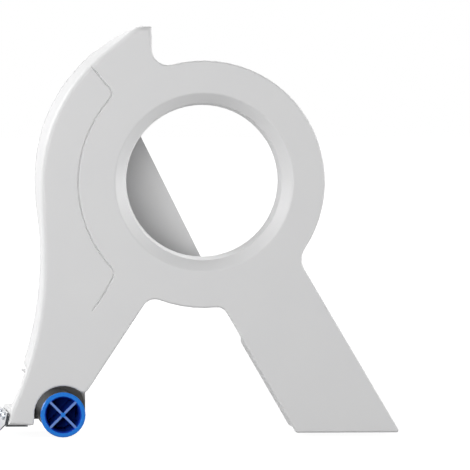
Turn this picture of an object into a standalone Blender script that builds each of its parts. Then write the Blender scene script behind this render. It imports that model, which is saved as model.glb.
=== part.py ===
# Hand-held masking tape dispenser: a two-part moulded case with a core hub, a press roller,
# a serrated blade on the nose and a box-shaped grip. Metres, +Z up, standing on roller and foot.
# Outlines are drawn as (x, z) round the ring's axis, and y runs from the front face to the back.

import math
from collections import namedtuple

import bmesh
import bpy
from mathutils import Matrix, Vector

# The case as a whole
DEPTH = 0.056
FACE_THICKNESS = 0.0024
PANEL_THICKNESS = 0.0026
SEAM_GAP = 0.0003
OVERRUN = 0.001
CHORD_ERROR = 0.00006
MERGE_DISTANCE = 0.000001
LARGEST_STEP = math.radians(30)

# Ring, cheek and horn of the front face
RING_RADIUS = 0.055
CHEEK_BULGE = 0.01925
UNDERSIDE_STEP = 0.0021
HORN_WIDTH = 0.0068
HORN_DROP = 0.00375
HORN_CORNER = 0.0006
HORN_FILLET = 0.0076
SHOULDER_ANGLE = math.radians(128)
SHOULDER_RADIUS = 0.009
HEAVY_EDGE = 0.0023
LIGHT_EDGE = 0.00085

# Front leg and nose
WAIST_DROP = 0.0353
WAIST_DEPTH = 0.00118
LEG_RADIUS = 0.162
NOSE_SHOULDER_DROP = 0.1022
NOSE_SHOULDER_RADIUS = 0.004
NOSE_LEAN = math.radians(12)
NOSE_HEIGHT = 0.0078
NOSE_CORNER = 0.0008
HEEL_CORNER = 0.002
TOE_RADIUS = 0.0026
LEG_EDGE_FROM_ROLLER = 0.00324
LEG_EDGE_RISE = 0.0487
LEG_EDGE_SLOPE = math.radians(56.5)
CROTCH_LEFT_RADIUS = 0.006
CROTCH_RIGHT_RADIUS = 0.005

# Grip
GRIP_LEFT_X = 0.01657
GRIP_LEFT_DROP = 0.0701
GRIP_LEFT_SLOPE = math.radians(60)
GRIP_RIGHT_X = 0.04627
GRIP_RIGHT_DROP = 0.0406
GRIP_RIGHT_SLOPE = math.radians(59.6)
GRIP_WALL = 0.002
GRIP_SETBACK = 0.0002
GRIP_SIDE_SETBACK = 0.0008
GRIP_NECK_X = 0.0206
GRIP_NECK_FILLET = 0.003
GRIP_NECK_CORNER = 0.0015
GRIP_TOP_CORNER = 0.0015
GRIP_HOLLOW_CORNER = 0.0012
BRIDGE_TAB = 0.012
FOOT_BELOW_NOSE = 0.00385
FOOT_LEFT_CORNER = 0.0016
FOOT_RIGHT_CORNER = 0.001
NECK_RADIUS = 0.0086

# Bore and hub, which goes inside a 76 mm paper core
BORE_LIP_RADIUS = 0.0404
BEVEL_DEPTH = 0.004
HUB_OUTER_RADIUS = 0.0373
HUB_MOUTH_WALL = 0.0017
HUB_END_WALL = 0.0029
HUB_LENGTH = 0.014
HUB_SHOULDER_WIDTH = 0.0036
HUB_SHOULDER_END = 0.0072
HUB_END_CHAMFER = 0.0006

# Styling groove on the face
GROOVE_GAP = 0.0021
GROOVE_WIDTH = 0.001
GROOVE_DEPTH = 0.0006
GROOVE_CORNER = 0.004
GROOVE_TOP_REACH = 0.02357
GROOVE_TOP_ANGLE = math.radians(133.92)
GROOVE_TOP_SLOPE = math.radians(-50)
GROOVE_BOTTOM_REACH = 0.00306
GROOVE_BOTTOM_ANGLE = math.radians(225.77)
GROOVE_BOTTOM_SLOPE = math.radians(241)
GROOVE_TAIL_REACH = 0.02715
GROOVE_TAIL_ANGLE = math.radians(229.0)
GROOVE_TAIL_SLOPE = math.radians(231.7)
GROOVE_TAIL_RADIUS = 0.05
GROOVE_FADE_SHARE = 0.2

# Rim, tongue and posts behind the face
RIM_WALL = 0.0018
RIM_SETBACK = 0.0001
RIM_DEPTH = 0.007
RIM_TOP_GAP = 0.0065
TONGUE_WALL = 0.0016
TONGUE_DEPTH = 0.006
POST_RADIUS = 0.0036
PILOT_RADIUS = 0.0017
PILOT_DEPTH = 0.012

# Rear shell: side wall, back panel and roller cheek
WALL_SETBACK = 0.00075
WALL_THICKNESS = 0.0022
WALL_TOP_ANGLE = math.radians(109.6)
WALL_FOOT_DROP = 0.0883
WALL_FOOT_CORNER = 0.004
LEG_RECESS = 0.00207
NOSE_RECESS = 0.004
NOSE_RECESS_FILLET = 0.0012
SLANT_X = 0.0247
SLANT_Z = 0.01775
SLANT_ANGLE = math.radians(116.5)
SLANT_TOP_RADIUS = 0.002
SLANT_FOOT_RADIUS = 0.01
PANEL_EDGE = 0.0008
CHEEK_FOOT_DROP = 0.0002
CHEEK_NOSE_CORNER = 0.0012
LOBE_RADIUS = 0.008
LOBE_FILLET = 0.003
CHEEK_RIGHT_REACH = 0.0135
CHEEK_RIGHT_CORNER = 0.0035
CHEEK_LEG_FILLET = 0.004

# Roller and its bearing in the rear cheek
ROLLER_RADIUS = 0.01023
ROLLER_FROM_HEEL = 0.0131
ROLLER_ABOVE_NOSE = 0.0047
NOSE_SOLE_LENGTH = 0.0121
ROLLER_WALL = 0.0018
ROLLER_EDGE = 0.0004
ROLLER_FLANGE = 0.0015
SLEEVE_RADIUS = 0.0093
SLEEVE_WALL = 0.0007
SLEEVE_FIT = 0.0003
SLEEVE_EDGE = 0.0002
POCKET_WALL = 0.0006
POCKET_FLOOR_WALL = 0.0009
POCKET_END = 0.0295
REAR_CAVITY_WALL = 0.001
REAR_CAVITY_START = 0.031
ROLLER_REAR_GAP = 0.0005
WEB_THICKNESS = 0.0011
WEB_FRONT_INSET = 0.0003
WEB_ANGLES = (math.radians(45), math.radians(135))
WEB_SQUARE = 0.0018
CORE_RADIUS = 0.0042
CORE_BUSH_GAP = 0.0012
AXLE_RADIUS = 0.0025
AXLE_FIT = 0.0003
AXLE_GROOVE_RADIUS = 0.002
AXLE_END_CHAMFER = 0.0004
BOSS_RADIUS = 0.0066
BOSS_LENGTH = 0.0114
BUSH_WALL = 0.0015
BUSH_FLANGE = 0.001
BUSH_FLANGE_RADIUS = 0.006
POCKET_RADIUS = 0.006
POCKET_DEPTH = 0.0024
WASHER_RADIUS = 0.0052
WASHER_THICKNESS = 0.0005
CLIP_RADIUS = 0.0042
CLIP_THICKNESS = 0.0006
CLIP_OPENING = math.radians(80)
STACK_GAP = 0.0002

# Nose bar, blade, sole plate and their screws
BAR_HEIGHT = 0.007
BAR_SETBACK = 0.0002
BAR_CORNER = 0.0005
SHEET_GAP = 0.0002
SOLE_THICKNESS = 0.0004
SOLE_LENGTH = 0.0095
SOLE_FLANGE = 0.0045
BLADE_THICKNESS = 0.0005
BLADE_FLANGE = 0.0056
BLADE_LIP = 0.0052
BLADE_LIP_ANGLE = math.radians(225)
BLADE_FRONT = 0.001
TOOTH_PITCH = 0.002
TOOTH_DEPTH = 0.0014
CUTTING_EDGE_SHARE = 0.3
BLADE_SCREW_RISE = 0.0033
BLADE_SCREW_SHARES = (0.25, 0.75)
BLADE_SCREW_HEAD = 0.0019
BLADE_SCREW_HEAD_HEIGHT = 0.0009
BLADE_SCREW_SHANK = 0.0009
BLADE_SCREW_LENGTH = 0.005
BLADE_SCREW_FIT = 0.0003

# Case screws, put in from the back
CASE_SCREW_HEAD = 0.0027
CASE_SCREW_HEAD_HEIGHT = 0.0012
CASE_SCREW_SHANK = 0.0014
CASE_SCREW_REACH = 0.009
COUNTERBORE_RADIUS = 0.0031
COUNTERBORE_DEPTH = 0.0016
CLEARANCE_RADIUS = 0.0018
CHEEK_SCREW_INSET = 0.01025
CHEEK_SCREW_ANGLES = (math.radians(140), math.radians(200))
LEG_SCREW_DROP = 0.062
LEG_SCREW_INSET = 0.0072
NOSE_SCREW_INSET = 0.0034
NOSE_SCREW_RISE = 0.005
GRIP_SCREW_BELOW_RING = 0.0049
GRIP_SCREW_ABOVE_FOOT = 0.00985

# Sizes that follow from those above
CHEEK_RADIUS = RING_RADIUS + CHEEK_BULGE
UNDERSIDE_RADIUS = RING_RADIUS + UNDERSIDE_STEP
HORN_TOP = CHEEK_RADIUS - HORN_DROP
SHOULDER_REST = CHEEK_RADIUS - HORN_TOP * math.sin(SHOULDER_ANGLE)
HORN_EDGE_X = -SHOULDER_REST / math.cos(SHOULDER_ANGLE) - HORN_WIDTH
WALL_RADIUS = CHEEK_RADIUS - WALL_SETBACK
WAIST_X = WAIST_DEPTH - CHEEK_RADIUS
LEG_CENTRE = Vector((WAIST_X - LEG_RADIUS, -WAIST_DROP))
NOSE_BOTTOM = -NOSE_SHOULDER_DROP - NOSE_HEIGHT
FOOT_BOTTOM = NOSE_BOTTOM - FOOT_BELOW_NOSE
PANEL_INSIDE = DEPTH - PANEL_THICKNESS
MIDDLE_SEAM = DEPTH / 2
INSIDE_FACE = FACE_THICKNESS / 2
INSIDE_PANEL = DEPTH - PANEL_THICKNESS / 2
BOSS_START = PANEL_INSIDE - BOSS_LENGTH
CORE_END = BOSS_START - SEAM_GAP - BUSH_FLANGE - CORE_BUSH_GAP
CHEEK_SCREW_CIRCLE = CHEEK_RADIUS - CHEEK_SCREW_INSET
GRIP_SCREW_DROPS = (UNDERSIDE_RADIUS + GRIP_SCREW_BELOW_RING, -FOOT_BOTTOM - GRIP_SCREW_ABOVE_FOOT)

RIGHT = Vector((1, 0))
LEFT = Vector((-1, 0))
UP = Vector((0, 1))
DOWN = Vector((0, -1))
RING_CENTRE = Vector((0, 0))

WHITE_PLASTIC = ("white_plastic", (0.80, 0.80, 0.79), 0.42, 0.0)
BLUE_PLASTIC = ("blue_plastic", (0.010, 0.19, 0.62), 0.38, 0.0)
BLADE_STEEL = ("blade_steel", (0.45, 0.46, 0.48), 0.30, 1.0)
AXLE_STEEL = ("axle_steel", (0.55, 0.56, 0.58), 0.22, 1.0)
SCREW_STEEL = ("screw_steel", (0.50, 0.50, 0.51), 0.35, 1.0)
SLEEVE_RUBBER = ("roller_rubber", (0.03, 0.035, 0.04), 0.75, 0.0)
BUSH_PLASTIC = ("bush_plastic", (0.72, 0.70, 0.64), 0.50, 0.0)

Line = namedtuple("Line", "point direction")
Round = namedtuple("Round", "centre radius turn")
Step = namedtuple("Step", "name shape blend turn way edge")
Arc = namedtuple("Arc", "name centre radius start sweep turn edge")


# Plane geometry of outlines


def unit(angle):
    return Vector((math.cos(angle), math.sin(angle)))


def left_of(direction):
    return Vector((-direction.y, direction.x))


def moved_left(line, distance):
    return Line(line.point + left_of(line.direction) * distance, line.direction)


def foot_on(line, point):
    return line.point + line.direction * (point - line.point).dot(line.direction)


def at_height(line, z):
    """The point of a line that lies at one height."""
    reach = (z - line.point.y) / line.direction.y
    return line.point + line.direction * reach


def on_circle(centre, radius, z):
    """The right-hand point of a circle that lies at one height."""
    rise = z - centre.y
    return Vector((centre.x + math.sqrt(radius * radius - rise * rise), z))


def lines_cross(first, second):
    reach = (second.point - first.point).cross(second.direction)
    return first.point + first.direction * (reach / first.direction.cross(second.direction))


def line_meets_circle(line, centre, radius, way):
    """Where a line crosses a circle, further along it where way is 1 and sooner where it is -1."""
    nearest = foot_on(line, centre)
    half = math.sqrt(radius * radius - (nearest - centre).length_squared)
    return nearest + line.direction * (half * way)


def blend_centre(first, second, radius, turn, way):
    """Centre of the arc that rounds the corner between two shapes, at least one of them a line."""
    if isinstance(first, Line) and isinstance(second, Line):
        return lines_cross(moved_left(first, radius * turn), moved_left(second, radius * turn))
    line, ring = (first, second) if isinstance(first, Line) else (second, first)
    reach = ring.radius - ring.turn * turn * radius
    return line_meets_circle(moved_left(line, radius * turn), ring.centre, reach, way)


def touching_point(shape, centre):
    """Where a blend arc with this centre touches a shape."""
    if isinstance(shape, Line):
        return foot_on(shape, centre)
    return shape.centre + (centre - shape.centre).normalized() * shape.radius


def tangent_point(first, second):
    """Where two shapes that run on smoothly into each other meet."""
    if isinstance(first, Line):
        return foot_on(first, second.centre)
    if isinstance(second, Line):
        return foot_on(second, first.centre)
    between = (second.centre - first.centre).normalized()
    if first.turn == second.turn and second.radius > first.radius:
        between = -between
    return first.centre + between * first.radius


def angle_of(point, centre):
    ray = point - centre
    return math.atan2(ray.y, ray.x)


def arc_between(name, centre, radius, turn, start_point, end_point, edge):
    start = angle_of(start_point, centre)
    sweep = ((angle_of(end_point, centre) - start) * turn) % math.tau
    return Arc(name, centre, radius, start, sweep * turn, turn, edge)


def marker(name, line, point, edge):
    """One point of a straight run, kept as an arc without a sweep so that it can be inset."""
    centre = point + left_of(line.direction) * CHEEK_RADIUS
    return Arc(name, centre, CHEEK_RADIUS, angle_of(point, centre), 0.0, 1, edge)


def arcs_of(steps, closed=True):
    """Arcs of an outline given as shapes and the blends that follow them. Straight runs join the arcs."""
    joins = []
    pairs = zip(steps, steps[1:] + steps[:1]) if closed else zip(steps, steps[1:])
    for step, following in pairs:
        if step.blend is None:
            point = tangent_point(step.shape, following.shape)
            joins.append((point, None, point))
        else:
            centre = blend_centre(step.shape, following.shape, step.blend, step.turn, step.way)
            first = touching_point(step.shape, centre)
            second = touching_point(following.shape, centre)
            joins.append((first, centre, second))
    arcs = []
    for index, step in enumerate(steps):
        if isinstance(step.shape, Round):
            arcs.append(
                arc_between(
                    step.name,
                    step.shape.centre,
                    step.shape.radius,
                    step.shape.turn,
                    joins[index - 1][2],
                    joins[index][0],
                    step.edge,
                )
            )
        if step.blend is not None and index < len(joins):
            first, centre, second = joins[index]
            arcs.append(
                arc_between(step.name + "_end", centre, step.blend, step.turn, first, second, step.edge)
            )
    return arcs


def stretch(arcs, first_name, last_name):
    """The arcs from one name to another, going round the outline."""
    names = [arc.name for arc in arcs]
    start = names.index(first_name)
    turned = arcs[start:] + arcs[:start]
    stop = [arc.name for arc in turned].index(last_name)
    return turned[: stop + 1]


def arc_points(arc, inset):
    """Points along an arc moved inwards. A corner tighter than the inset ends in its mitre point."""
    largest = 2 * math.acos(max(0.0, 1 - CHORD_ERROR / arc.radius))
    count = math.ceil(abs(arc.sweep) / min(largest, LARGEST_STEP))
    angles = [arc.start + arc.sweep * index / max(count, 1) for index in range(count + 1)]
    radius = arc.radius - arc.turn * inset
    if radius < 0:
        first = unit(angles[0])
        last = unit(angles[-1])
        mitre = arc.centre + (first + last) * (radius / (1 + first.dot(last)))
        return [mitre] * len(angles)
    return [arc.centre + unit(angle) * radius for angle in angles]


def outline(arcs, inset=0.0):
    return [point for arc in arcs for point in arc_points(arc, inset)]


def band(arcs, outer_inset, inner_inset):
    """Outline of a wall that follows an open run of arcs."""
    return outline(arcs, outer_inset) + outline(arcs, inner_inset)[::-1]


# Solids


def raised(points, y):
    return [Vector((point.x, y, point.y)) for point in points]


def rounded_rings(arcs, y_face, y_back, facets=4):
    """Rings of a plate whose rim at y_face is rounded by each arc's own edge size."""
    way = 1 if y_back > y_face else -1
    rings = [raised(outline(arcs), y_back)]
    for index in range(facets + 1):
        angle = math.pi / 2 * index / facets
        ring = []
        for arc in arcs:
            inset = arc.edge * (1 - math.cos(angle))
            depth = arc.edge * (1 - math.sin(angle))
            ring += raised(arc_points(arc, inset), y_face + way * depth)
        rings.append(ring)
    return rings


def mesh_object(name, mesh):
    """A scene object from a bmesh, whose doubles are merged and whose faces are turned outwards."""
    bmesh.ops.remove_doubles(mesh, verts=mesh.verts, dist=MERGE_DISTANCE)
    wires = [edge for edge in mesh.edges if edge.is_wire]
    bmesh.ops.delete(mesh, geom=wires, context="EDGES")
    bmesh.ops.recalc_face_normals(mesh, faces=mesh.faces)
    data = bpy.data.meshes.new(name)
    mesh.to_mesh(data)
    mesh.free()
    made = bpy.data.objects.new(name, data)
    bpy.context.scene.collection.objects.link(made)
    return made


def lofted(rings, name="loft"):
    """A solid skinned over rings of as many points each, by extruding one face ring after ring."""
    mesh = bmesh.new()
    face = mesh.faces.new([mesh.verts.new(point) for point in rings[0]])
    for ring in rings[1:]:
        face = bmesh.ops.extrude_discrete_faces(mesh, faces=[face])["faces"][0]
        for loop, point in zip(face.loops, ring):
            loop.vert.co = point
    rim = [edge for edge in mesh.edges if edge.is_boundary]
    bmesh.ops.holes_fill(mesh, edges=rim, sides=0)
    return mesh_object(name, mesh)


def prism(points, y_start, y_end, name="prism"):
    return lofted([raised(points, y_start), raised(points, y_end)], name)


def turned(profile, centre=RING_CENTRE, name="turned", segments=None):
    """A solid turned round a Y axis from (radius, y) points of its closed half section."""
    widest = max(radius for radius, _ in profile)
    if segments is None:
        step = 2 * math.acos(max(0.0, 1 - CHORD_ERROR / widest))
        segments = 4 * math.ceil(math.tau / min(step, LARGEST_STEP) / 4)
    mesh = bmesh.new()
    verts = [mesh.verts.new((radius, y, 0)) for radius, y in profile]
    edges = [mesh.edges.new((verts[index - 1], vert)) for index, vert in enumerate(verts)]
    bmesh.ops.spin(
        mesh,
        geom=verts + edges,
        cent=(0, 0, 0),
        axis=(0, 1, 0),
        angle=math.tau,
        steps=segments,
        use_merge=True,
        use_duplicate=False,
    )
    bmesh.ops.translate(mesh, verts=mesh.verts, vec=(centre.x, 0, centre.y))
    return mesh_object(name, mesh)


def cylinder(radius, y_start, y_end, centre=RING_CENTRE, name="cylinder"):
    profile = [(0, y_start), (radius, y_start), (radius, y_end), (0, y_end)]
    return turned(profile, centre, name)


def evaluated_copy(target):
    graph = bpy.context.evaluated_depsgraph_get()
    return bpy.data.meshes.new_from_object(target.evaluated_get(graph))


def combined(target, tool, operation):
    """Applies one Boolean to the target and removes the tool."""
    modifier = target.modifiers.new(operation, "BOOLEAN")
    modifier.operation = operation
    modifier.solver = "EXACT"
    modifier.object = tool
    result = evaluated_copy(target)
    target.modifiers.clear()
    target.data = result
    bpy.data.objects.remove(tool)
    return target


def gathered(tools):
    """Several solids that don't overlap, as one Boolean tool."""
    mesh = bmesh.new()
    for tool in tools:
        mesh.from_mesh(tool.data)
        bpy.data.objects.remove(tool)
    return mesh_object("tools", mesh)


def joined(target, tools):
    return combined(target, gathered(tools), "UNION")


def cut(target, tools):
    return combined(target, gathered(tools), "DIFFERENCE")


def finished(name, made, finish, parent):
    """Names a solid, smooths its round faces, gives it its material and hangs it on its axis."""
    label, colour, roughness, metallic = finish
    made.name = name
    made.data.name = name
    made.parent = parent
    made.data.shade_smooth()
    made.data.set_sharp_from_angle(angle=math.radians(30))
    material = bpy.data.materials.get(label) or bpy.data.materials.new(label)
    material.use_nodes = True
    shader = material.node_tree.nodes["Principled BSDF"]
    shader.inputs["Base Color"].default_value = (*colour, 1)
    shader.inputs["Roughness"].default_value = roughness
    shader.inputs["Metallic"].default_value = metallic
    made.data.materials.clear()
    made.data.materials.append(material)
    return made


# Lines and circles that several outlines share

RING = Round(RING_CENTRE, RING_RADIUS, 1)
UNDERSIDE = Round(RING_CENTRE, UNDERSIDE_RADIUS, 1)
LEG = Round(LEG_CENTRE, LEG_RADIUS, -1)
NOSE = Line(on_circle(LEG_CENTRE, LEG_RADIUS, -NOSE_SHOULDER_DROP), unit(-math.pi / 2 - NOSE_LEAN))
NOSE_SOLE = Line(Vector((0, NOSE_BOTTOM)), RIGHT)
NOSE_TIP = lines_cross(NOSE, NOSE_SOLE)
HEEL = Line(NOSE_TIP + RIGHT * NOSE_SOLE_LENGTH, UP)
ROLLER_CENTRE = HEEL.point + Vector((ROLLER_FROM_HEEL, ROLLER_ABOVE_NOSE))
LEG_WAY = unit(LEG_EDGE_SLOPE)
LEG_LINE = Line(ROLLER_CENTRE - left_of(LEG_WAY) * LEG_EDGE_FROM_ROLLER, LEG_WAY)
LEG_EDGE = Line(at_height(LEG_LINE, ROLLER_CENTRE.y + LEG_EDGE_RISE), LEG_WAY)
GRIP_LEFT = Line(Vector((GRIP_LEFT_X, -GRIP_LEFT_DROP)), unit(-GRIP_LEFT_SLOPE))
GRIP_RIGHT = Line(Vector((GRIP_RIGHT_X, -GRIP_RIGHT_DROP)), unit(math.pi - GRIP_RIGHT_SLOPE))
FOOT = Line(Vector((0, FOOT_BOTTOM)), RIGHT)
GRIP_TOP = Round(RING_CENTRE, UNDERSIDE_RADIUS - GRIP_WALL, -1)


def waist(radius, depth, edge):
    """Two arcs that draw the outline in by depth, from level with the ring's axis to the waist."""
    half = depth / 2
    bend = ((WAIST_DROP / 2) ** 2 + half**2) / (2 * half)
    upper = Round(Vector((bend - radius, 0)), bend, 1)
    lower = Round(Vector((depth - radius - bend, -WAIST_DROP)), bend, -1)
    return [
        Step("waist_upper", upper, None, 1, 1, edge),
        Step("waist_lower", lower, None, 1, 1, edge),
    ]


def grip_steps(edge):
    """The run from the leg's inner edge under the ring and round the grip's foot."""
    return [
        Step("leg_edge", LEG_EDGE, CROTCH_LEFT_RADIUS, -1, -1, edge),
        Step("underside", UNDERSIDE, CROTCH_RIGHT_RADIUS, -1, 1, edge),
        Step("grip_left", GRIP_LEFT, FOOT_LEFT_CORNER, 1, 1, edge),
        Step("foot", FOOT, FOOT_RIGHT_CORNER, 1, 1, edge),
    ]


def box_steps(edge):
    """The same run for the grip's box, whose left wall stands back and steps in below the ring."""
    neck = Line(Vector((GRIP_NECK_X, 0)), DOWN)
    return [
        Step("leg_edge", LEG_EDGE, CROTCH_LEFT_RADIUS, -1, -1, edge),
        Step("underside", UNDERSIDE, GRIP_NECK_FILLET, -1, 1, edge),
        Step("grip_neck", neck, GRIP_NECK_CORNER, 1, 1, edge),
        Step("grip_left", moved_left(GRIP_LEFT, GRIP_SIDE_SETBACK), FOOT_LEFT_CORNER, 1, 1, edge),
        Step("foot", FOOT, FOOT_RIGHT_CORNER, 1, 1, edge),
    ]


def face_arcs():
    """Outline of the R-shaped front face."""
    shoulder_point = unit(SHOULDER_ANGLE) * CHEEK_RADIUS
    shoulder = Line(shoulder_point, left_of(unit(SHOULDER_ANGLE)))
    horn_edge = Line(Vector((-HORN_EDGE_X, 0)), UP)
    horn_top = Line(Vector((0, HORN_TOP)), LEFT)
    cheek = Round(RING_CENTRE, CHEEK_RADIUS, 1)
    notch = Round(ROLLER_CENTRE, ROLLER_FROM_HEEL, -1)
    steps = [
        Step("horn_edge", horn_edge, HORN_CORNER, 1, 1, HEAVY_EDGE),
        Step("horn_top", horn_top, SHOULDER_RADIUS, 1, 1, HEAVY_EDGE),
        Step("shoulder", shoulder, None, 1, 1, HEAVY_EDGE),
        Step("cheek", cheek, None, 1, 1, HEAVY_EDGE),
        *waist(CHEEK_RADIUS, WAIST_DEPTH, HEAVY_EDGE),
        Step("leg", LEG, NOSE_SHOULDER_RADIUS, 1, 1, HEAVY_EDGE),
        Step("nose", NOSE, NOSE_CORNER, 1, 1, HEAVY_EDGE),
        Step("sole", NOSE_SOLE, HEEL_CORNER, 1, 1, LIGHT_EDGE),
        Step("heel", HEEL, None, 1, 1, LIGHT_EDGE),
        Step("notch", notch, TOE_RADIUS, 1, 1, LIGHT_EDGE),
        *grip_steps(LIGHT_EDGE),
        Step("grip_right", GRIP_RIGHT, NECK_RADIUS, -1, -1, LIGHT_EDGE),
        Step("ring", RING, HORN_FILLET, -1, 1, LIGHT_EDGE),
    ]
    return arcs_of(steps)


def panel_arcs():
    """Outline of the back panel with the leg and the roller cheek, its slanted edge open to the roll."""
    wall = Round(RING_CENTRE, WALL_RADIUS, 1)
    wall_depth = WALL_RADIUS + WAIST_X + LEG_RECESS
    leg = Round(LEG_CENTRE, LEG_RADIUS + LEG_RECESS, -1)
    wall_foot = Line(Vector((0, -WALL_FOOT_DROP)), RIGHT)
    nose = Round(LEG_CENTRE, LEG_RADIUS + NOSE_RECESS, -1)
    cheek_foot = Line(Vector((0, NOSE_BOTTOM - CHEEK_FOOT_DROP)), RIGHT)
    lobe = Round(ROLLER_CENTRE, LOBE_RADIUS, 1)
    cheek_right = Line(ROLLER_CENTRE + RIGHT * CHEEK_RIGHT_REACH, UP)
    slant = Line(Vector((-SLANT_X, SLANT_Z)), unit(SLANT_ANGLE))
    edge = PANEL_EDGE
    steps = [
        Step("slant", slant, SLANT_TOP_RADIUS, 1, 1, edge),
        Step("wall", wall, None, 1, 1, edge),
        *waist(WALL_RADIUS, wall_depth, edge),
        Step("leg", leg, WALL_FOOT_CORNER, 1, 1, edge),
        Step("wall_foot", wall_foot, NOSE_RECESS_FILLET, -1, 1, edge),
        Step("nose", nose, CHEEK_NOSE_CORNER, 1, 1, edge),
        Step("cheek_foot", cheek_foot, LOBE_FILLET, -1, -1, edge),
        Step("lobe", lobe, LOBE_FILLET, -1, 1, edge),
        Step("cheek_foot_right", cheek_foot, CHEEK_RIGHT_CORNER, 1, 1, edge),
        Step("cheek_right", cheek_right, CHEEK_LEG_FILLET, -1, 1, edge),
        *box_steps(edge),
        Step("grip_right", GRIP_RIGHT, GRIP_TOP_CORNER, 1, -1, edge),
        Step("grip_top", GRIP_TOP, SLANT_FOOT_RADIUS, -1, -1, edge),
    ]
    return arcs_of(steps)


def grip_arcs():
    """Outer outline of the bridge under the ring and the grip's box."""
    leg_inside = Line(moved_left(LEG_EDGE, GRIP_WALL).point, -LEG_EDGE.direction)
    tab_end = Line(LEG_EDGE.point - LEG_EDGE.direction * BRIDGE_TAB, -left_of(LEG_EDGE.direction))
    corner = GRIP_WALL / 4
    steps = [
        *box_steps(0.0),
        Step("grip_right", GRIP_RIGHT, GRIP_TOP_CORNER, 1, -1, 0.0),
        Step("grip_top", GRIP_TOP, CROTCH_LEFT_RADIUS + GRIP_WALL, 1, 1, 0.0),
        Step("leg_inside", leg_inside, corner, 1, 1, 0.0),
        Step("tab_end", tab_end, corner, 1, 1, 0.0),
    ]
    return arcs_of(steps)


def hollow_arcs():
    """Outline of the grip's hollow."""
    neck = Line(Vector((GRIP_NECK_X + GRIP_WALL, 0)), DOWN)
    left_wall = moved_left(GRIP_LEFT, GRIP_SIDE_SETBACK + GRIP_WALL)
    right_wall = moved_left(GRIP_RIGHT, GRIP_WALL)
    floor = moved_left(FOOT, GRIP_WALL)
    top = Round(RING_CENTRE, UNDERSIDE_RADIUS, -1)
    steps = [
        Step("neck", neck, GRIP_HOLLOW_CORNER, 1, 1, 0.0),
        Step("left", left_wall, GRIP_HOLLOW_CORNER, 1, 1, 0.0),
        Step("floor", floor, GRIP_HOLLOW_CORNER, 1, 1, 0.0),
        Step("right", right_wall, GRIP_HOLLOW_CORNER, 1, -1, 0.0),
        Step("top", top, GRIP_HOLLOW_CORNER, 1, 1, 0.0),
    ]
    return arcs_of(steps)


def from_ring(reach, angle):
    """A point that lies so far outside the ring's edge, at an angle."""
    return unit(angle) * (RING_RADIUS + reach)


def groove_arcs():
    """Run of the styling groove round the ring, open at both ends."""
    top = Line(from_ring(GROOVE_TOP_REACH, GROOVE_TOP_ANGLE), unit(GROOVE_TOP_SLOPE))
    middle = Round(RING_CENTRE, RING_RADIUS + GROOVE_GAP, 1)
    bottom = Line(from_ring(GROOVE_BOTTOM_REACH, GROOVE_BOTTOM_ANGLE), unit(GROOVE_BOTTOM_SLOPE))
    tail = Line(from_ring(GROOVE_TAIL_REACH, GROOVE_TAIL_ANGLE), unit(GROOVE_TAIL_SLOPE))
    steps = [
        Step("top", top, GROOVE_CORNER, -1, -1, 0.0),
        Step("middle", middle, GROOVE_CORNER, -1, 1, 0.0),
        Step("bottom", bottom, GROOVE_TAIL_RADIUS, -1, 1, 0.0),
        Step("tail", tail, None, -1, 1, 0.0),
    ]
    start = marker("start", top, top.point, 0.0)
    end = marker("end", tail, tail.point, 0.0)
    return [start, *arcs_of(steps, closed=False), end]


def screw_places():
    """Centres of the six case screws."""
    cheek = [unit(angle) * CHEEK_SCREW_CIRCLE for angle in CHEEK_SCREW_ANGLES]
    leg_wall = on_circle(LEG_CENTRE, LEG_RADIUS + LEG_RECESS, -LEG_SCREW_DROP)
    leg = leg_wall + RIGHT * LEG_SCREW_INSET
    nose = HEEL.point + Vector((-NOSE_SCREW_INSET, NOSE_SCREW_RISE))
    grip = []
    for drop in GRIP_SCREW_DROPS:
        grip.append((at_height(GRIP_LEFT, -drop) + at_height(GRIP_RIGHT, -drop)) / 2)
    return [*cheek, leg, nose, *grip]


def along_nose(height, outside):
    """A point so high above the nose's tip along its front, and so far outside it."""
    return NOSE_TIP - NOSE.direction * height - left_of(NOSE.direction) * outside


def nose_turned(made, y):
    """Lays a solid turned round Y along the inward normal of the nose's front, for its screws."""
    inward = left_of(NOSE.direction)
    along = Vector((inward.x, 0, inward.y))
    place = along_nose(BLADE_SCREW_RISE, 0.0)
    spin = Vector((0, 1, 0)).rotation_difference(along).to_matrix().to_4x4()
    made.data.transform(Matrix.Translation((place.x, y, place.y)) @ spin)
    return made


def blade_screw_depths():
    """Where the blade's screws stand between its ends."""
    length = PANEL_INSIDE - 2 * BLADE_FRONT
    return [BLADE_FRONT + length * share for share in BLADE_SCREW_SHARES]


# Pieces of the case


def groove_cutter():
    """A V-shaped cutter that follows the groove and thins out at its tail."""
    arcs = groove_arcs()
    half = GROOVE_WIDTH / 2
    mouth = half * (1 + OVERRUN / GROOVE_DEPTH)
    left = raised(outline(arcs, mouth), -OVERRUN)
    right = raised(outline(arcs, -mouth), -OVERRUN)
    bottom = raised(outline(arcs), GROOVE_DEPTH)
    tail = (left[-1] + right[-1]) / 2
    for run in (left, right, bottom):
        run[-1] = tail.lerp(run[-1], GROOVE_FADE_SHARE)
    return lofted(list(zip(left, right, bottom)))


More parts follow.
